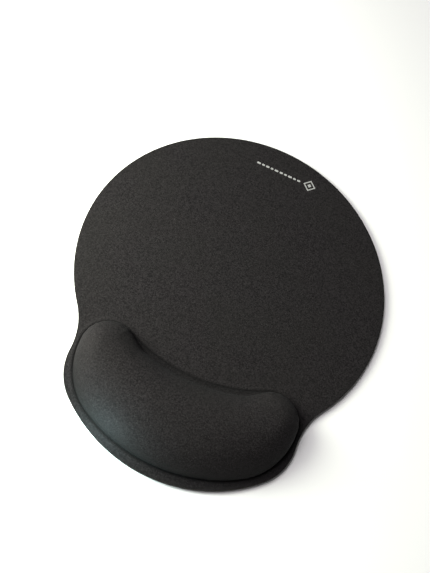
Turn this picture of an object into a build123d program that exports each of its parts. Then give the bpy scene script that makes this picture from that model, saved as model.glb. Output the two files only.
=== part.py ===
from build123d import *
from math import pi, sin, sqrt
import os

# A gel mouse mat with a wrist rest. Millimetres. +X right, +Y away from the user, +Z up.
# The origin is on the desk, under the middle of the mat's bounding box.

# Mat outline: a round mat with a lobe towards the user
mat_radius = 105.0
mat_length = 244.5
lobe_width = 147.0
lobe_corner_radius = 33.0
near_edge_radius = 96.5
waist_radius = 43.0
circle_y = mat_length / 2 - mat_radius
near_centre_y = near_edge_radius - mat_length / 2

# Rest outline on the cloth: a kidney whose two horns point away from the user
rest_width = 141.0
rest_near_radius = 101.0
rest_near_middle_y = -116.1
rest_corner_radius = 42.0
rest_far_radius = 108.0
rest_far_middle_y = -60.2
horn_radius = 17.5

# Heights above the desk, and the thickness of each layer
base_thickness = 2.5
cloth_thickness = 0.5
film_thickness = 0.2
rest_height = 22.0
weld_width = 2.2

# The rest's crown falls away from a curved ridge, and a shoulder rounds it into the wall
ridge_middle_y = -91.0
ridge_radius = 88.0
crown_radius_across = 42.0
crown_radius_along = 420.0
crown_far_y = -40.0
crown_steps = 12
shoulder_radius = 11.0

# Grip pattern moulded into the underside: wavy grooves inside a plain border
grip_border = 6.0
groove_pitch = 6.0
groove_width = 2.2
groove_depth = 0.4
wave_height = 1.4
wave_length = 18.0
wave_steps = 6

# Print near the far edge of the cloth
print_thickness = 0.1
print_start_x = -17.0
print_y = circle_y + 86.5
dash_lengths = (3.0, 2.2, 2.6, 2.2, 3.0, 2.6, 2.2, 3.0, 2.2, 2.6)
dash_height = 1.5
dash_gap = 1.0
diamond_gap = 2.6
diamond_size = 9.5
diamond_line = 0.8
diamond_core = 2.2

cloth_top = base_thickness + cloth_thickness
upper_film_under = base_thickness + film_thickness

os.makedirs("parts", exist_ok=True)


def mat_face(inset=0.0):
    """The mat's outline, drawn in by inset."""
    with BuildSketch() as lobe:
        with Locations((0, near_centre_y)):
            Circle(near_edge_radius - inset)
        Rectangle(lobe_width - 2 * inset, 2 * mat_length, mode=Mode.INTERSECT)
        fillet(lobe.vertices().group_by(Axis.Y)[0], lobe_corner_radius - inset)
    with BuildSketch() as outline:
        with Locations((0, circle_y)):
            Circle(mat_radius - inset)
        add(lobe.sketch)
        # the two inward corners where the lobe leaves the round part
        fillet(outline.vertices().group_by(Axis.Y)[-1], waist_radius + inset)
    return outline.sketch


def rest_face(grow=0.0):
    """The rest's outline, pushed out by grow."""
    with BuildSketch() as outline:
        with Locations((0, rest_near_middle_y + rest_near_radius)):
            Circle(rest_near_radius)
        Rectangle(rest_width, 2 * mat_length, mode=Mode.INTERSECT)
        with Locations((0, rest_far_middle_y + rest_far_radius)):
            Circle(rest_far_radius, mode=Mode.SUBTRACT)
        fillet(outline.vertices().group_by(Axis.Y)[0], rest_corner_radius)
        fillet(outline.vertices().group_by(Axis.Y)[-1], horn_radius)
        if grow:
            offset(amount=grow)
    return outline.sketch


def crown_face(inset):
    """The rest's crown, well past its walls and lowered by inset."""
    reach_x = rest_width / 2 + weld_width
    near_y = -mat_length / 2
    rows = []
    for i in range(crown_steps + 1):
        x = reach_x * (2 * i / crown_steps - 1)
        row = []
        for j in range(crown_steps + 1):
            y = near_y + (crown_far_y - near_y) * j / crown_steps
            across = y - ridge_middle_y - x**2 / (2 * ridge_radius)
            fall = across**2 / (2 * crown_radius_across) + x**2 / (2 * crown_radius_along)
            row.append(Vector(x, y, rest_height - inset - fall))
        rows.append(row)
    return Face.make_surface_from_array_of_points(rows)


def dome(bottom, inset):
    """The rest's rounded body above bottom, drawn in by inset on its walls and crown."""
    with BuildPart() as body:
        with BuildSketch(Plane.XY.offset(bottom)):
            add(rest_face(-inset))
        extrude(amount=2 * rest_height)
        split(bisect_by=crown_face(inset), keep=Keep.BOTTOM)
        fillet(body.edges().filter_by(GeomType.BSPLINE), shoulder_radius - inset)
    return body.part


def grip_face():
    """The underside's wavy grooves, cut off at a plain border."""
    steps = round(mat_length / wave_length) * wave_steps
    lower = []
    upper = []
    for i in range(steps + 1):
        x = wave_length / wave_steps * (i - steps / 2)
        y = wave_height * sin(2 * pi * x / wave_length)
        lower.append((x, y - groove_width / 2))
        upper.append((x, y + groove_width / 2))
    with BuildSketch() as groove:
        with BuildLine():
            low_edge = Spline(*lower)
            high_edge = Spline(*upper)
            Line(low_edge @ 0, high_edge @ 0)
            Line(low_edge @ 1, high_edge @ 1)
        make_face()
    with BuildSketch() as grip:
        with GridLocations(0, groove_pitch, 1, 2 * round(mat_length / groove_pitch / 2)):
            add(groove.sketch)
        add(mat_face(grip_border), mode=Mode.INTERSECT)
    return grip.sketch


# Base: the rubber sheet that is the mat's body, with the grip pattern underneath
with BuildPart() as non_slip_base:
    add(mat_face())
    extrude(amount=base_thickness)
    add(grip_face())
    extrude(amount=groove_depth, mode=Mode.SUBTRACT)
non_slip_base.part.label = "non_slip_base"
export_step(non_slip_base.part, "parts/non_slip_base.step")


# Gel pouch: a backing film, the gel, and a film over the gel that is welded to the backing all round
with BuildPart() as gel_backing_film:
    with BuildSketch(Plane.XY.offset(base_thickness)):
        add(rest_face(weld_width))
    extrude(amount=film_thickness)
gel_backing_film.part.label = "gel_backing_film"
export_step(gel_backing_film.part, "parts/gel_backing_film.step")

with BuildPart() as gel_core:
    add(dome(upper_film_under, cloth_thickness + film_thickness))
gel_core.part.label = "gel_core"
export_step(gel_core.part, "parts/gel_core.step")

with BuildPart() as gel_upper_film:
    with BuildSketch(Plane.XY.offset(upper_film_under)):
        add(rest_face(weld_width))
    extrude(amount=film_thickness)
    add(dome(upper_film_under, cloth_thickness))
    add(gel_core.part, mode=Mode.SUBTRACT)
gel_upper_film.part.label = "gel_upper_film"
export_step(gel_upper_film.part, "parts/gel_upper_film.step")


# Cover: one cloth over the mat, the pouch's weld and the rest
with BuildPart() as fabric_cover:
    with BuildSketch(Plane.XY.offset(base_thickness)):
        add(mat_face())
    extrude(amount=cloth_thickness)
    with BuildSketch(Plane.XY.offset(base_thickness)):
        add(rest_face(weld_width + cloth_thickness))
    extrude(amount=2 * film_thickness + cloth_thickness)
    add(dome(base_thickness, 0.0))
    with BuildSketch(Plane.XY.offset(base_thickness)):
        add(rest_face(weld_width))
    extrude(amount=2 * film_thickness, mode=Mode.SUBTRACT)
    add(dome(base_thickness, cloth_thickness), mode=Mode.SUBTRACT)
fabric_cover.part.label = "fabric_cover"
export_step(fabric_cover.part, "parts/fabric_cover.step")


# Print: a row of plain dashes that ends in a diamond with a smaller one inside
diamond_side = diamond_size / sqrt(2)
diamond_hole = diamond_side - 2 * diamond_line
with BuildPart() as printed_mark:
    with BuildSketch(Plane.XY.offset(cloth_top)):
        dash_start = print_start_x
        for dash_length in dash_lengths:
            with Locations((dash_start + dash_length / 2, print_y)):
                SlotOverall(dash_length, dash_height)
            dash_start += dash_length + dash_gap
        with Locations((dash_start - dash_gap + diamond_gap + diamond_size / 2, print_y)):
            Rectangle(diamond_side, diamond_side, rotation=45)
            Rectangle(diamond_hole, diamond_hole, rotation=45, mode=Mode.SUBTRACT)
            Rectangle(diamond_core, diamond_core, rotation=45)
    extrude(amount=print_thickness)
printed_mark.part.label = "printed_mark"
export_step(printed_mark.part, "parts/printed_mark.step")

for node in (non_slip_base, gel_backing_film, gel_core, gel_upper_film, fabric_cover, printed_mark):
    print(node.part.label, len(node.part.solids()), round(node.part.volume), node.part.is_valid)
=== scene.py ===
from math import atan2, cos, degrees, pi, radians, sin, sqrt

import bpy
import numpy as np
from mathutils import Matrix, Vector
from mathutils.geometry import delaunay_2d_cdt
from mathutils.kdtree import KDTree


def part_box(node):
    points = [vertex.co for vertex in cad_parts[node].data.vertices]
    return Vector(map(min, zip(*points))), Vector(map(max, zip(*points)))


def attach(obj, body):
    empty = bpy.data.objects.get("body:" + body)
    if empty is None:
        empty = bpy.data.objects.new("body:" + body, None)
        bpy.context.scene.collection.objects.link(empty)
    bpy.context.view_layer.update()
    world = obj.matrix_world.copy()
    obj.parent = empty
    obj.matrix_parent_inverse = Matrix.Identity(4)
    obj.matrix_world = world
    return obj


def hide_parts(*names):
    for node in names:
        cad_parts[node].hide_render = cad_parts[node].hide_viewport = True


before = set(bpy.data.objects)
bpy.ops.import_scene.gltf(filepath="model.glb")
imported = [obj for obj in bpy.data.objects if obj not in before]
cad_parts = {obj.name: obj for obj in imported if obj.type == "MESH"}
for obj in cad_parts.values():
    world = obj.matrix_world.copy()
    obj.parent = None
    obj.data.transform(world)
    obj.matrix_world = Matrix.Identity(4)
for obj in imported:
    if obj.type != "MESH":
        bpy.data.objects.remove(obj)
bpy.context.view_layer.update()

# A gel mouse mat with a wrist rest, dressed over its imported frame. Metres, in the frame's own axes:
# +X right, +Y away from the user, +Z up from the desk.
mm = 0.001

# Heights and widths that the frame gives
mat_low, mat_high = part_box("fabric_cover")
backing_low, backing_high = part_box("gel_backing_film")
gel_low, gel_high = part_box("gel_core")
base_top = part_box("non_slip_base")[1].z
film_thickness = backing_high.z - backing_low.z
flange_under = base_top + 2 * film_thickness
cloth_thickness = mat_high.z - gel_high.z - film_thickness
wall_thickness = cloth_thickness + film_thickness
mat_top = base_top + cloth_thickness
mat_radius = (mat_high.x - mat_low.x) / 2
mat_centre_y = mat_high.y - mat_radius
rest_half_width = gel_high.x + wall_thickness
rest_near_y = gel_low.y - wall_thickness

# Radii of the mat's lobe and of the rest
lobe_half_width = 73.5 * mm
lobe_corner_radius = 33.0 * mm
near_edge_radius = 96.5 * mm
waist_radius = 43.0 * mm
rest_near_radius = 101.0 * mm
rest_corner_radius = 42.0 * mm
rest_far_radius = 108.0 * mm
rest_far_middle_y = -60.2 * mm
horn_radius = 17.5 * mm

# The rest's crown, a little low because the gel's pressure raises it, and the shoulder that rounds it
# into the wall
crown_top = mat_high.z - 0.4 * mm
ridge_middle_y = -91.0 * mm
ridge_radius = 88.0 * mm
crown_radius_across = 42.0 * mm
crown_radius_along = 420.0 * mm
shoulder_near, shoulder_far = 15.5 * mm, 14.0 * mm


# Outlines

arc_count = 600


def tangent_corner(half_width, corner_radius, big_radius, big_y):
    """Where a corner arc is centred that touches a side and, from inside, a big arc."""
    x = half_width - corner_radius
    return x, big_y - sqrt((big_radius - corner_radius) ** 2 - x**2)


def tangent_outside(x, radius, big_radius, big_y):
    """The y of an arc centred at x that touches a big arc from outside, below its centre."""
    return big_y - sqrt((big_radius + radius) ** 2 - x**2)


def outline(arcs, count):
    """count evenly spaced points round a symmetric outline, and their outward normals. arcs are its right
    half from the far side to the near side: x, y, radius (negative where hollow), start and end angle."""
    rays, points = [], []
    for x, y, radius, start, end in arcs:
        angle = np.radians(np.linspace(start, end, arc_count))
        ray = np.stack([np.cos(angle), np.sin(angle)], 1)
        rays.append(ray * np.sign(radius))
        points.append(np.array([x, y]) + abs(radius) * ray)
    mirror = np.array([-1, 1])
    points, rays = np.concatenate(points), np.concatenate(rays)
    points = np.concatenate([points, points[::-1] * mirror])
    rays = np.concatenate([rays, rays[::-1] * mirror])
    length = np.concatenate([[0], np.cumsum(np.linalg.norm(np.diff(points, axis=0), axis=1))])
    at = np.linspace(0, length[-1], count, endpoint=False)
    even = [np.stack([np.interp(at, length, v[:, k]) for k in (0, 1)], 1) for v in (points, rays)]
    return even[0], even[1] / np.linalg.norm(even[1], axis=1)[:, None]


def mat_arcs():
    """The mat: the round part, the waist, the lobe's corner and its near edge."""
    near_y = mat_low.y + near_edge_radius
    waist_x = lobe_half_width + waist_radius
    waist_y = tangent_outside(waist_x, waist_radius, mat_radius, mat_centre_y)
    corner_x, corner_y = tangent_corner(lobe_half_width, lobe_corner_radius, near_edge_radius, near_y)
    waist_angle = degrees(atan2(waist_y - mat_centre_y, waist_x))
    corner_angle = degrees(atan2(corner_y - near_y, corner_x))
    return [
        (0, mat_centre_y, mat_radius, 90, waist_angle),
        (waist_x, waist_y, -waist_radius, waist_angle + 180, 180),
        (corner_x, corner_y, lobe_corner_radius, 0, corner_angle),
        (0, near_y, near_edge_radius, corner_angle, -90),
    ]


def rest_arcs():
    """The rest: the hollow far side, a horn, a corner and the near side."""
    near_y = rest_near_y + rest_near_radius
    far_y = rest_far_middle_y + rest_far_radius
    horn_x = rest_half_width - horn_radius
    horn_y = tangent_outside(horn_x, horn_radius, rest_far_radius, far_y)
    corner_x, corner_y = tangent_corner(rest_half_width, rest_corner_radius, rest_near_radius, near_y)
    horn_angle = degrees(atan2(horn_y - far_y, horn_x))
    corner_angle = degrees(atan2(corner_y - near_y, corner_x))
    return [
        (0, far_y, -rest_far_radius, -90, horn_angle),
        (horn_x, horn_y, horn_radius, horn_angle + 180, 0),
        (corner_x, corner_y, rest_corner_radius, 0, corner_angle),
        (0, near_y, rest_near_radius, corner_angle, -90),
    ]


mat_count, rest_count = 720, 480
mat_line, mat_normals = outline(mat_arcs(), mat_count)
rest_line, rest_normals = outline(rest_arcs(), rest_count)


def smooth_step(value, low, high):
    """0 below low, 1 above high, and a smooth rise between."""
    share = np.clip((value - low) / (high - low), 0, 1)
    return share * share * (3 - 2 * share)


def crown(xy):
    """The crown's height above the desk at plan points."""
    x, y = xy[:, 0], xy[:, 1]
    across = y - ridge_middle_y - x**2 / (2 * ridge_radius)
    return crown_top - across**2 / (2 * crown_radius_across) - x**2 / (2 * crown_radius_along)


def inside(points, loop):
    """Which plan points lie inside a closed loop of points."""
    a, b = loop, np.roll(loop, -1, axis=0)
    found = np.zeros(len(points), bool)
    for (ax, ay), (bx, by) in zip(a, b):
        spans = (ay > points[:, 1]) != (by > points[:, 1])
        with np.errstate(divide="ignore", invalid="ignore"):
            cut = (bx - ax) * (points[:, 1] - ay) / (by - ay) + ax
        found ^= spans & (points[:, 0] < cut)
    return found


loop_clearance, merge_distance = 0.6, 1e-9


def fill(loops, keep, spacing):
    """Triangles between closed loops of plan points, with evenly spaced points added where keep allows.
    Returns the added points, and triangles that count the loops' points first."""
    edge = np.concatenate(loops)
    tree = KDTree(len(edge))
    for i, (x, y) in enumerate(edge):
        tree.insert((x, y, 0), i)
    tree.balance()
    low, high = edge.min(0), edge.max(0)
    rows = []
    for j, y in enumerate(np.arange(low[1], high[1], spacing * sqrt(3) / 2)):
        x = np.arange(low[0] + j % 2 * spacing / 2, high[0], spacing)
        rows.append(np.column_stack([x, np.full(len(x), y)]))
    grid = np.concatenate(rows)
    grid = grid[keep(grid)]
    grid = grid[[tree.find((x, y, 0))[2] > loop_clearance * spacing for x, y in grid]]
    joins, first = [], 0
    for loop in loops:
        joins += [(first + i, first + (i + 1) % len(loop)) for i in range(len(loop))]
        first += len(loop)
    points = np.concatenate([edge, grid])
    _, _, triangles, origins, _, _ = delaunay_2d_cdt(
        [Vector(p) for p in points], joins, [], 0, merge_distance
    )
    faces = np.array([[origins[i][0] for i in triangle] for triangle in triangles])
    return grid, faces[keep(points[faces].mean(1))]


# The cover's upper surface, called the skin: rings of points round the mat and the rest, and filled areas.
# The cloth's cut rim round the mat, from its edge inwards: how far in, how far below the flat top (mm)
rim_rings = [(0.0, 0.22), (0.07, 0.10), (0.22, 0.03), (0.50, 0.0)]

# How much each of the first rim rings looks cut
cut_rings = [1.0, 1.0, 0.35]

# The ramp over the pouch's weld, from the flat mat to the crease: how far out from the rest, and how far
# up (mm). It narrows where the mat's edge is close.
ramp_rings = [
    (3.60, 0.0), (3.20, 0.04), (2.80, 0.13), (2.40, 0.25), (2.00, 0.35), (1.60, 0.40), (1.20, 0.40),
    (0.85, 0.36), (0.55, 0.29), (0.30, 0.20), (0.12, 0.14),
]

# From the crease to the wall's foot. The far side has a low lip here, and elsewhere the wall starts at
# once: share of the lip's width, height without a lip, height with one (mm)
lip_rings = [
    (0.0, 0.12, 0.12), (0.04, 0.24, 0.30), (0.12, 0.42, 0.62), (0.25, 0.60, 0.92), (0.45, 0.80, 1.10),
    (0.70, 1.00, 1.16), (0.88, 1.18, 1.26), (1.0, 1.35, 1.50),
]
lip_narrow, lip_wide = 0.35 * mm, 3.6 * mm

# The ramp's ring over the edge of the pouch's weld, the shoulder's rings, how far the wall bulges, and the
# spacing of the filled areas
weld_ring = 4
shoulder_steps = 26
bulge = 0.55 * mm
flat_spacing, crown_spacing = 2.2 * mm, 1.6 * mm

# How far the painted shade beside the crease reaches outwards and up the wall, and the painted shade
# at the foot of the far lip's wall
shade_out, shade_up_far, shade_up_near = 2.0 * mm, 7.0 * mm, 14.0 * mm
shade_falloff = 1.3
foot_shade_edge, foot_shade_fade, foot_shade_strength = 0.8 * mm, 8.0 * mm, 0.75

# How far the mat's edge is from each point of the rest's outline, and the share of the ramp's width
# that fits
edge_gap = np.array([np.linalg.norm(mat_line - point, axis=1).min() for point in rest_line])
rim_inside = (rim_rings[-1][0] + 0.1) * mm
ramp_share = np.clip((edge_gap - rim_inside) / (ramp_rings[0][0] * mm), 0.5, 1)

# How much of the lip each point of the rest's outline has: all of it in the hollow of the far side
faces_away = smooth_step(rest_normals[:, 1], 0.55, 0.9)
near_middle = smooth_step(-np.abs(rest_line[:, 0]), -48 * mm, -30 * mm)
lip_share = faces_away * near_middle
lip_width = lip_narrow + (lip_wide - lip_narrow) * lip_share

# The shoulder is broad on the side towards the user and tighter on the far side, as is the reach of the
# painted shade beside the crease
near_share = smooth_step(-rest_normals[:, 1], -0.35, 0.35)
shoulder_width = shoulder_far + (shoulder_near - shoulder_far) * near_share
shade_up = shade_up_far + (shade_up_near - shade_up_far) * near_share


turn_window = 25


def outline_turn(normals, step):
    """How sharply an outline bends outwards at each of its points, as 1 / radius, smoothed along it."""
    after, before = np.roll(normals, -1, axis=0), np.roll(normals, 1, axis=0)
    turn = (before[:, 1] * after[:, 0] - before[:, 0] * after[:, 1]) / (2 * step)
    window = np.hanning(turn_window) / np.hanning(turn_window).sum()
    reach = len(window) // 2
    wrapped = np.concatenate([turn[-reach:], turn, turn[:reach]])
    return np.maximum(np.convolve(wrapped, window, "valid"), 0)


rest_step = np.linalg.norm(rest_line[1] - rest_line[0])
pucker_share = np.clip(outline_turn(rest_normals, rest_step) * horn_radius, 0, 1)
pucker_height = 0.16 * mm

# How far out from the crease the folds reach, in the ramp's own millimetres
fold_reach = 2.4


def pucker(along):
    """The small uneven folds that the cloth takes where it is pulled round a tight bend."""
    size = 0.65 + 0.35 * np.sin(along / (3.7 * mm))
    return np.cos(along / (0.86 * mm) + 1.4 * np.sin(along / (5.1 * mm))) * size


rest_pucker = pucker_height * pucker_share * pucker(np.arange(rest_count) * rest_step)


def ring_faces(first, second, count):
    """Quads between two rings of count points that start at those vertices."""
    i = np.arange(count)
    j = (i + 1) % count
    return np.column_stack([first + i, second + i, second + j, first + j])


def column(value):
    """A row of numbers as a column, to scale points by."""
    return np.asarray(value)[:, None]


def cover_skin():
    """The skin's points, its faces, each point's place in the flat cloth, and where its parts start."""
    points, place = [], []
    for inward, down in rim_rings:
        plan = mat_line - mat_normals * inward * mm
        points.append(np.column_stack([plan, np.full(mat_count, mat_top - down * mm)]))
        place.append(plan)
    rest_start = len(rim_rings) * mat_count
    for out, up in ramp_rings:
        plan = rest_line + rest_normals * column(ramp_share * out * mm)
        fold = rest_pucker * 0.5 * max(0, 1 - out / fold_reach)
        points.append(np.column_stack([plan, mat_top + up * mm + fold * (up > 0)]))
        place.append(plan)
    rings = []
    for share, plain, lipped in lip_rings:
        plan = rest_line - rest_normals * column(lip_width * share)
        up = plain * mm + (lipped - plain) * mm * lip_share
        rings.append(np.column_stack([plan + rest_normals * column(rest_pucker * share), mat_top + up]))
    foot_line = rest_line - rest_normals * column(lip_width)
    rise = crown(foot_line) - rings[-1][:, 2]
    for turn in np.linspace(0, pi / 2, shoulder_steps)[1:]:
        plan = foot_line - rest_normals * column(shoulder_width * (1 - cos(turn)))
        height = crown(plan) - rise * (1 - sin(turn))
        swell = bulge * (1 - lip_share) * (sin(3 * turn) ** 2 if turn < pi / 3 else 0)
        fold = rest_pucker * max(0, cos(turn)) ** 2
        rings.append(np.column_stack([plan + rest_normals * column(swell + fold), height]))
    # the cloth is laid out flat from the innermost ring outwards
    laid = rings[-1][:, :2].copy()
    laid_rings = [laid]
    for outer, inner in zip(rings[-2::-1], rings[:0:-1]):
        laid = laid + rest_normals * column(np.linalg.norm(outer - inner, axis=1))
        laid_rings.append(laid)
    points += rings
    place += laid_rings[::-1]
    faces = [ring_faces(k * mat_count, (k + 1) * mat_count, mat_count) for k in range(len(rim_rings) - 1)]
    ring_total = len(ramp_rings) + len(rings)
    for k in range(ring_total - 1):
        first = rest_start + k * rest_count
        faces.append(ring_faces(first, first + rest_count, rest_count))
    crown_start = rest_start + ring_total * rest_count
    top_ring = rings[-1][:, :2]
    crown_points, crown_faces = fill([top_ring], lambda p: inside(p, top_ring), crown_spacing)
    points.append(np.column_stack([crown_points, crown(crown_points)]))
    place.append(crown_points)
    faces.append(crown_faces + crown_start - rest_count)
    flat_start = crown_start + len(crown_points)
    rim_inner, ramp_outer = place[len(rim_rings) - 1], place[len(rim_rings)]
    flat_points, flat_faces = fill(
        [rim_inner, ramp_outer], lambda p: inside(p, rim_inner) & ~inside(p, ramp_outer), flat_spacing
    )
    points.append(np.column_stack([flat_points, np.full(len(flat_points), mat_top)]))
    place.append(flat_points)
    # the fill counts the rim's inner ring first, then the ramp's outer ring, then its own points
    number = np.concatenate([
        rest_start - mat_count + np.arange(mat_count),
        rest_start + np.arange(rest_count),
        flat_start + np.arange(len(flat_points)),
    ])
    faces.append(number[flat_faces])
    return np.concatenate(points), faces, np.concatenate(place), rest_start, flat_start


def turned_up(points, faces):
    """The faces with each group wound so that its normals point up."""
    wound = []
    for group in faces:
        a, b, c = (points[group[:, k]] for k in (0, 1, 2))
        up = np.cross(b - a, c - a)[:, 2]
        wound.append(group[:, ::-1] if up.sum() < 0 else group)
    return wound


def point_normals(points, faces):
    """Unit normals of a surface at its points."""
    total = np.zeros_like(points)
    for group in faces:
        a, b, c = (points[group[:, k]] for k in (0, 1, 2))
        across = np.cross(b - a, c - a)
        for k in range(group.shape[1]):
            np.add.at(total, group[:, k], across)
    return total / np.maximum(np.linalg.norm(total, axis=1), 1e-20)[:, None]


def make_mesh(name, points, faces):
    """A smooth-shaded object from points and groups of faces."""
    mesh = bpy.data.meshes.new(name)
    mesh.from_pydata(points.tolist(), [], [f for group in faces for f in group.tolist()])
    mesh.update()
    mesh.shade_smooth()
    made = bpy.data.objects.new(name, mesh)
    bpy.context.scene.collection.objects.link(made)
    return made


def closed_shell(name, top, bottom, faces, loop):
    """A closed mesh between two surfaces with the same faces, joined along the loop of edge points."""
    n = len(top)
    sides = np.column_stack([loop, np.roll(loop, -1), np.roll(loop, -1) + n, loop + n])
    under = [group[:, ::-1] + n for group in faces]
    return make_mesh(name, np.concatenate([top, bottom]), [*faces, *under, sides])


skin, skin_faces, skin_place, rest_start, flat_start = cover_skin()
skin_faces = turned_up(skin, skin_faces)
skin_normals = point_normals(skin, skin_faces)


def painted_shade_share():
    """How much painted shade darkens the cloth at each point of the skin: 1 in the crease, 0 away from it.
    Only in the crease itself does it stand for a mark of the creased cloth; further out it is painted
    shade, reaching further than a fold's mark would, to match the photograph's shading. The far side's lip
    has a second band of painted shade, at the foot of the wall, that fades up the slope."""
    ring_total = len(ramp_rings) + len(lip_rings) + shoulder_steps - 1
    rings = skin[rest_start : rest_start + ring_total * rest_count].reshape(ring_total, rest_count, 3)
    steps = np.linalg.norm(np.diff(rings, axis=0), axis=2)
    along = np.concatenate([np.zeros((1, rest_count)), np.cumsum(steps, axis=0)])
    inward = along - along[len(ramp_rings)]
    crease = np.where(inward > 0, inward / shade_up, -inward / shade_out)
    crease = np.clip(1 - crease, 0, 1) ** shade_falloff
    up_slope = along - along[len(ramp_rings) + len(lip_rings) - 1]
    foot = np.where(up_slope > 0, up_slope / foot_shade_fade, -up_slope / foot_shade_edge)
    foot = foot_shade_strength * lip_share * np.clip(1 - foot, 0, 1)
    share = np.zeros(len(skin))
    share[rest_start : rest_start + rings.shape[0] * rest_count] = np.maximum(crease, foot).ravel()
    return share


def add_values(made, name, kind, field, values):
    """An attribute of an object's mesh, one value to a point, for its material to read."""
    attribute = made.data.attributes.new(name, kind, "POINT")
    attribute.data.foreach_set(field, values.ravel())


def build_cover():
    """The fabric cover: the skin, its underside and its cut edge."""
    under = skin - skin_normals * cloth_thickness
    under[:, 2] = np.maximum(under[:, 2], base_top)
    on_pouch = slice(rest_start + weld_ring * rest_count, flat_start)
    under[on_pouch, 2] = np.maximum(under[on_pouch, 2], flange_under)
    rim = len(rim_rings) * mat_count
    under[:rim] = skin[:rim]
    under[:rim, 2] = base_top
    cover = closed_shell("fabric_cover_cloth", skin, under, skin_faces, np.arange(mat_count))
    flat = np.column_stack([skin_place, np.zeros(len(skin))])
    edge = np.zeros(2 * len(skin))
    edge[: len(cut_rings) * mat_count] = np.repeat(cut_rings, mat_count)
    edge[len(skin) : len(skin) + mat_count] = 1.0
    add_values(cover, "cloth_place", "FLOAT_VECTOR", "vector", np.concatenate([flat, flat]))
    # the painted shade beside the crease and at the far lip's foot, for the cloth's material
    add_values(cover, "painted_crease_shade", "FLOAT", "value", np.tile(painted_shade_share(), 2))
    add_values(cover, "cut_edge", "FLOAT", "value", edge)
    return cover


def rest_part(first_ring):
    """The rest's own share of the skin, from one of its rings inwards: its point numbers and its faces."""
    keep = np.zeros(len(skin), bool)
    keep[rest_start + first_ring * rest_count : flat_start] = True
    number = np.cumsum(keep) - 1
    return np.flatnonzero(keep), [number[g[keep[g].all(1)]] for g in skin_faces]


def build_film():
    """The film over the gel, from its weld to the crown."""
    own, faces = rest_part(weld_ring)
    top = skin[own] - skin_normals[own] * cloth_thickness
    under = skin[own] - skin_normals[own] * wall_thickness
    top[:, 2] = np.maximum(top[:, 2], flange_under)
    under[:, 2] = np.maximum(under[:, 2], flange_under - film_thickness)
    return closed_shell("gel_film", top, under, faces, np.arange(rest_count))


def build_gel():
    """The gel that fills the film."""
    own, faces = rest_part(len(ramp_rings))
    top = skin[own] - skin_normals[own] * wall_thickness
    under = top.copy()
    under[:, 2] = flange_under - film_thickness
    return closed_shell("gel_pad", top, under, faces, np.arange(rest_count))


# The rest's cloth settles under the gel's pressure, in a short simulation of a coarse copy of the rest. The
# cap is how far a point may move, and the cloth is held below a height above the mat.

settle_voxel, settle_cap, settle_held = 4.0 * mm, 0.9 * mm, 1.6 * mm
settle_mass, settle_pressure, settle_frames = 0.02, 110, 20
settle_neighbours, neighbour_blur = 8, 0.3


def mesh_points(made):
    """An object's mesh as its modifiers leave it, and that mesh's points."""
    shaped = made.evaluated_get(bpy.context.evaluated_depsgraph_get())
    mesh = bpy.data.meshes.new_from_object(shaped)
    points = np.empty(3 * len(mesh.vertices))
    mesh.vertices.foreach_get("co", points)
    return mesh, points.reshape(-1, 3)


def settle_rest():
    """Moves the skin's rest with the simulated cloth, which is held along the crease."""
    own, faces = rest_part(len(ramp_rings))
    floor = skin[own].copy()
    floor[:, 2] = base_top
    shell = closed_shell("settling_shell", skin[own], floor, faces, np.arange(rest_count))
    remesh = shell.modifiers.new("remesh", "REMESH")
    remesh.mode, remesh.voxel_size = "VOXEL", settle_voxel
    coarse_mesh, start = mesh_points(shell)
    coarse = bpy.data.objects.new("settling_cloth", coarse_mesh)
    bpy.context.scene.collection.objects.link(coarse)
    held = coarse.vertex_groups.new(name="held")
    held.add([int(i) for i in np.flatnonzero(start[:, 2] < mat_top + settle_held)], 1.0, "REPLACE")
    cloth = coarse.modifiers.new("cloth", "CLOTH")
    cloth.settings.mass = settle_mass
    cloth.settings.use_pressure = True
    cloth.settings.uniform_pressure_force = settle_pressure
    cloth.settings.vertex_group_mass = held.name
    cloth.settings.effector_weights.gravity = 0
    for step in range(1, settle_frames + 1):
        bpy.context.scene.frame_set(step)
    moved = mesh_points(coarse)[1] - start
    bpy.context.scene.frame_set(1)
    for made in (shell, coarse):
        bpy.data.objects.remove(made)
    length = np.linalg.norm(moved, axis=1)
    moved *= column(np.minimum(1, settle_cap / np.maximum(length, 1e-9)))
    tree = KDTree(len(start))
    for i, place in enumerate(start):
        tree.insert(place, i)
    tree.balance()
    for i in own:
        found = tree.find_n(skin[i], settle_neighbours)
        weight = np.array([1 / (gap + neighbour_blur * settle_voxel) ** 2 for _, _, gap in found])
        skin[i] += weight @ moved[[k for _, k, _ in found]] / weight.sum()


settle_rest()
skin_normals = point_normals(skin, skin_faces)
cover, film, gel = build_cover(), build_film(), build_gel()


# Materials. Noise scales are per metre.

def new_material(name):
    """A material, its node tree and its shader."""
    material = bpy.data.materials.new(name)
    material.use_nodes = True
    tree = material.node_tree
    return material, tree, tree.nodes["Principled BSDF"]


def add_node(tree, kind, inputs, **settings):
    """A node with its settings. inputs maps each input's name or number to a value, or to a socket."""
    made = tree.nodes.new(kind)
    for key, value in settings.items():
        setattr(made, key, value)
    for key, value in inputs.items():
        if isinstance(value, bpy.types.NodeSocket):
            tree.links.new(value, made.inputs[key])
        else:
            made.inputs[key].default_value = value
    return made


def maths(tree, operation, *values):
    """The result of a Math node on numbers or sockets."""
    return add_node(tree, "ShaderNodeMath", dict(enumerate(values)), operation=operation).outputs[0]


def noise(tree, place, scale, detail, roughness):
    """Soft noise from 0 to 1 at place."""
    inputs = {"Vector": place, "Scale": scale, "Detail": detail, "Roughness": roughness}
    return add_node(tree, "ShaderNodeTexNoise", inputs).outputs["Fac"]


def remap(tree, value, low, high, to_low=0.0, to_high=1.0):
    """value from low..high to to_low..to_high, clamped."""
    inputs = {"Value": value, "From Min": low, "From Max": high, "To Min": to_low, "To Max": to_high}
    return add_node(tree, "ShaderNodeMapRange", inputs).outputs[0]


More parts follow.
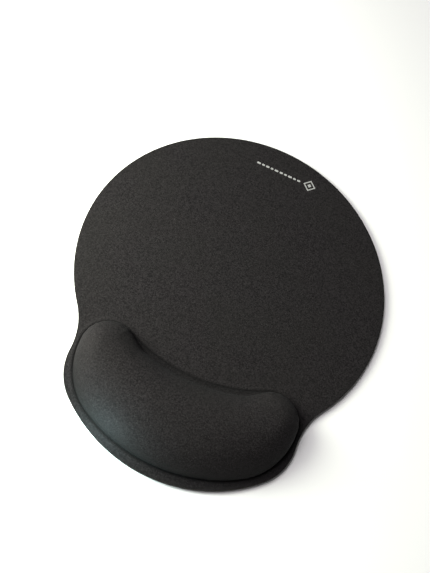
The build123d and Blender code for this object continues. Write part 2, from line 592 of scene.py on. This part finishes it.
def blend(tree, share, first, second):
    """The colour between first and second. A Mix node's colour sockets are inputs 6 and 7 and output 2."""
    return add_node(tree, "ShaderNodeMix", {0: share, 6: first, 7: second}, data_type="RGBA").outputs[2]


def grey(value, warmth=0.0):
    """A colour of that value: warmer above 0, cooler below."""
    return value * (1 + warmth), value, value * (1 - warmth), 1.0


def object_place(tree):
    """Each point's own place on the object, in metres."""
    return add_node(tree, "ShaderNodeTexCoord", {}).outputs["Object"]


def bumped(tree, shader, height, depth, strength):
    """Gives the shader a bump from height, where 1 stands depth proud."""
    made = add_node(tree, "ShaderNodeBump", {"Height": height, "Strength": strength, "Distance": depth})
    tree.links.new(made.outputs[0], shader.inputs["Normal"])


# The knit's column width and row height
wale, course = 0.60 * mm, 0.46 * mm


def knit_height(tree, place):
    """The face of a plain knit: columns of small Vs, from 0 between the yarns to 1 on top of them."""
    at = add_node(tree, "ShaderNodeSeparateXYZ", {"Vector": place})
    across = maths(tree, "DIVIDE", at.outputs["X"], wale)
    along = maths(tree, "DIVIDE", at.outputs["Y"], course)
    from_middle = maths(tree, "PINGPONG", across, 0.5)
    slanted = maths(tree, "ADD", along, maths(tree, "MULTIPLY", from_middle, 1.5))
    legs = maths(tree, "SINE", maths(tree, "MULTIPLY", slanted, 2 * pi))
    columns = maths(tree, "SINE", maths(tree, "MULTIPLY", from_middle, 2 * pi))
    both = maths(tree, "ADD", maths(tree, "MULTIPLY", legs, 0.3), maths(tree, "MULTIPLY", columns, 0.4))
    return maths(tree, "ADD", both, 0.3)


def cloth_material():
    """Black polyester knit: mottled dyed yarn with paler fibre ends, painted shade beside the crease, and
    frayed at the cut edge."""
    yarn_dark, yarn_light = (0.0040, 0.0034, 0.0040, 1), (0.0216, 0.0189, 0.0204, 1)
    patch_tone = (0.0125, 0.0118, 0.0105, 1)
    material, tree, shader = new_material("knitted_cloth")
    place = object_place(tree)
    laid = add_node(tree, "ShaderNodeAttribute", {}, attribute_name="cloth_place").outputs["Vector"]
    cut = add_node(tree, "ShaderNodeAttribute", {}, attribute_name="cut_edge").outputs["Fac"]
    painted_crease_shade = add_node(tree, "ShaderNodeAttribute", {}, attribute_name="painted_crease_shade").outputs["Fac"]
    knit = knit_height(tree, laid)
    mottle = noise(tree, place, 1150, 2, 0.6)
    fibres = noise(tree, place, 3400, 2, 0.6)
    patches = noise(tree, place, 26, 2, 0.5)
    tone = maths(tree, "ADD", maths(tree, "MULTIPLY", mottle, 0.7), maths(tree, "MULTIPLY", fibres, 0.3))
    tone = remap(tree, tone, 0.40, 0.60)
    yarn = blend(tree, tone, yarn_dark, yarn_light)
    yarn = blend(tree, remap(tree, patches, 0.35, 0.65, 0.0, 0.25), yarn, patch_tone)
    in_gaps = remap(tree, knit, 0.0, 0.45, 0.55, 0.0)
    yarn = blend(tree, in_gaps, yarn, grey(0.003))
    specks = remap(tree, noise(tree, place, 1900, 1, 0.4), 0.64, 0.70, 0.0, 0.5)
    yarn = blend(tree, specks, yarn, grey(0.042, 0.02))
    # Painted shade: the yarn is darkened beside the crease and at the foot of the far lip's wall
    yarn = blend(tree, maths(tree, "MULTIPLY", painted_crease_shade, 0.7), yarn, grey(0.0018))
    frayed = remap(tree, fibres, 0.35, 0.6)
    edge = blend(tree, frayed, grey(0.012, 0.10), grey(0.045, 0.16))
    tree.links.new(blend(tree, cut, yarn, edge), shader.inputs["Base Color"])
    tree.links.new(remap(tree, mottle, 0.3, 0.7, 0.72, 0.9), shader.inputs["Roughness"])
    shader.inputs["Specular IOR Level"].default_value = 0.10
    shader.inputs["Sheen Weight"].default_value = 0.012
    shader.inputs["Sheen Roughness"].default_value = 0.5
    shader.inputs["Sheen Tint"].default_value = (0.82, 0.90, 0.94, 1.0)
    height = maths(tree, "ADD", knit, maths(tree, "MULTIPLY", fibres, 0.7))
    bumped(tree, shader, height, 0.07 * mm, 0.7)
    return material


def rubber_material():
    """Foamed rubber: a smooth dusty skin underneath, and open brown-grey cells where the edge is cut."""
    material, tree, shader = new_material("foamed_rubber")
    place = object_place(tree)
    facing = add_node(tree, "ShaderNodeNewGeometry", {}).outputs["Normal"]
    upward = add_node(tree, "ShaderNodeSeparateXYZ", {"Vector": facing}).outputs["Z"]
    cut = remap(tree, maths(tree, "ABSOLUTE", upward), 0.5, 0.3)
    cells = noise(tree, place, 2600, 3, 0.6)
    grain = noise(tree, place, 900, 4, 0.6)
    dust = noise(tree, place, 40, 3, 0.6)
    open_cells = blend(tree, remap(tree, cells, 0.35, 0.65), grey(0.014, 0.10), grey(0.050, 0.14))
    closed = blend(tree, grain, grey(0.009), grey(0.020, 0.03))
    closed = blend(tree, remap(tree, dust, 0.5, 0.75, 0.0, 0.35), closed, grey(0.035, 0.05))
    tree.links.new(blend(tree, cut, closed, open_cells), shader.inputs["Base Color"])
    tree.links.new(remap(tree, grain, 0.3, 0.7, 0.55, 0.78), shader.inputs["Roughness"])
    shader.inputs["Specular IOR Level"].default_value = 0.35
    height = maths(tree, "ADD", grain, maths(tree, "MULTIPLY", cells, cut))
    bumped(tree, shader, height, 0.08 * mm, 0.6)
    return material


def film_material():
    """Polyurethane film, hazy and off-white."""
    material, tree, shader = new_material("polyurethane_film")
    haze = noise(tree, object_place(tree), 120, 3, 0.5)
    tree.links.new(blend(tree, haze, grey(0.48, 0.02), grey(0.62, 0.02)), shader.inputs["Base Color"])
    tree.links.new(remap(tree, haze, 0.3, 0.7, 0.25, 0.4), shader.inputs["Roughness"])
    return material


def gel_material():
    """Cloudy blue-grey silicone gel."""
    material, tree, shader = new_material("silicone_gel")
    cloud = noise(tree, object_place(tree), 60, 3, 0.5)
    colour = blend(tree, cloud, (0.42, 0.56, 0.62, 1), (0.58, 0.70, 0.74, 1))
    tree.links.new(colour, shader.inputs["Base Color"])
    shader.inputs["Roughness"].default_value = 0.18
    shader.inputs["Subsurface Weight"].default_value = 0.6
    shader.inputs["Subsurface Radius"].default_value = (0.004, 0.006, 0.007)
    shader.inputs["Subsurface Scale"].default_value = 1.0
    return material


def print_material():
    """Off-white transfer print, with the knit showing through and small worn spots."""
    material, tree, shader = new_material("transfer_print")
    place = object_place(tree)
    knit = knit_height(tree, place)
    worn = remap(tree, noise(tree, place, 2200, 3, 0.6), 0.52, 0.66)
    ink = blend(tree, remap(tree, knit, 0.0, 0.5), grey(0.20), grey(0.40, 0.01))
    tree.links.new(blend(tree, worn, ink, grey(0.13)), shader.inputs["Base Color"])
    shader.inputs["Roughness"].default_value = 0.55
    bumped(tree, shader, knit, 0.05 * mm, 0.6)
    return material


def dress(piece, material):
    """Gives the piece that material alone."""
    piece.data.materials.clear()
    piece.data.materials.append(material)


film_look = film_material()
dress(cover, cloth_material())
dress(gel, gel_material())
dress(film, film_look)
dress(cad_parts["gel_backing_film"], film_look)
dress(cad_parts["non_slip_base"], rubber_material())
dress(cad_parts["printed_mark"], print_material())

for piece, node, slot in (
    (cover, "fabric_cover", "cloth"), (film, "gel_upper_film", "film"), (gel, "gel_core", "gel"),
):
    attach(piece, "root")
    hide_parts(node)


# Floor, light and camera

def aimed(azimuth, elevation):
    """The unit vector at that azimuth, from +X towards +Y, and elevation, in degrees."""
    turn, rise = radians(azimuth), radians(elevation)
    return Vector((cos(rise) * cos(turn), cos(rise) * sin(turn), sin(rise)))


def add_light(name, kind, direction, distance, power, colour, aim=(0, 0, 0), **settings):
    """A light of that kind, at that distance and direction from aim, which it faces. Metres and watts, or
    watts per square metre for a sun."""
    data = bpy.data.lights.new(name, kind)
    data.energy = power
    data.color = colour
    for key, value in settings.items():
        setattr(data, key, value)
    light = bpy.data.objects.new(name, data)
    light.visible_camera = False
    light.location = Vector(aim) + distance * direction
    light.rotation_euler = (-direction).to_track_quat("-Z", "Y").to_euler()
    bpy.context.scene.collection.objects.link(light)


floor_reach, floor_drop = 30.0, 0.05 * mm
corners = floor_reach * np.array([[-1, -1, 0], [1, -1, 0], [1, 1, 0], [-1, 1, 0]])
floor = make_mesh("floor", corners - [0, 0, floor_drop], [np.array([[0, 1, 2, 3]])])
floor_look, _, floor_shader = new_material("pale_floor")
floor_shader.inputs["Base Color"].default_value = grey(0.92)
floor_shader.inputs["Roughness"].default_value = 0.9
dress(floor, floor_look)

# A soft round light low on the left, a very small one just above the near edge, for the photograph's
# glare there, and a broad overhead one
add_light("key", "POINT", aimed(188, 30), 0.37, 14.0, (0.95, 1.0, 0.87), shadow_soft_size=0.11)
add_light("near_glow", "AREA", aimed(245, 60), 0.026, 0.036, (0.64, 0.99, 0.98),
          aim=(-0.040, -0.115, 0.003), shape="DISK", size=0.018)
add_light("overhead", "SUN", aimed(172, 52), 1.0, 2.2, (1.0, 0.97, 0.98), angle=radians(30))

# A room that is bright round the horizon and dim above
world = bpy.data.worlds.new("studio")
world.use_nodes = True
world_tree = world.node_tree
direction = add_node(world_tree, "ShaderNodeTexCoord", {}).outputs["Generated"]
upward = add_node(world_tree, "ShaderNodeSeparateXYZ", {"Vector": direction}).outputs["Z"]
background = world_tree.nodes["Background"]
background.inputs["Color"].default_value = (1, 1, 1, 1)
horizon_glow, sky_glow = 0.60, 0.05
glow = remap(world_tree, upward, 0.08, 0.42, horizon_glow, sky_glow)
world_tree.links.new(glow, background.inputs["Strength"])
bpy.context.scene.world = world
bpy.context.scene.view_settings.view_transform = "Standard"

# The photograph's view: the camera's direction from its target, its roll and its distance
view_azimuth, view_elevation, view_roll = radians(-5.14), radians(66.6), radians(28.87)
view_distance = 0.3381
view_target = Vector((-0.0094, 0.0, 0.003))

back = Vector((sin(view_azimuth) * cos(view_elevation), -cos(view_azimuth) * cos(view_elevation),
               sin(view_elevation)))
level = Vector((cos(view_azimuth), sin(view_azimuth), 0))
right = level * cos(view_roll) + back.cross(level) * sin(view_roll)
camera_data = bpy.data.cameras.new("camera")
camera_data.lens = 32.7
camera_data.clip_start = 0.01
camera = bpy.data.objects.new("camera", camera_data)
turn = Matrix((right, back.cross(right), back)).transposed().to_4x4()
camera.matrix_world = Matrix.Translation(view_target + back * view_distance) @ turn
bpy.context.scene.collection.objects.link(camera)
bpy.context.scene.camera = camera
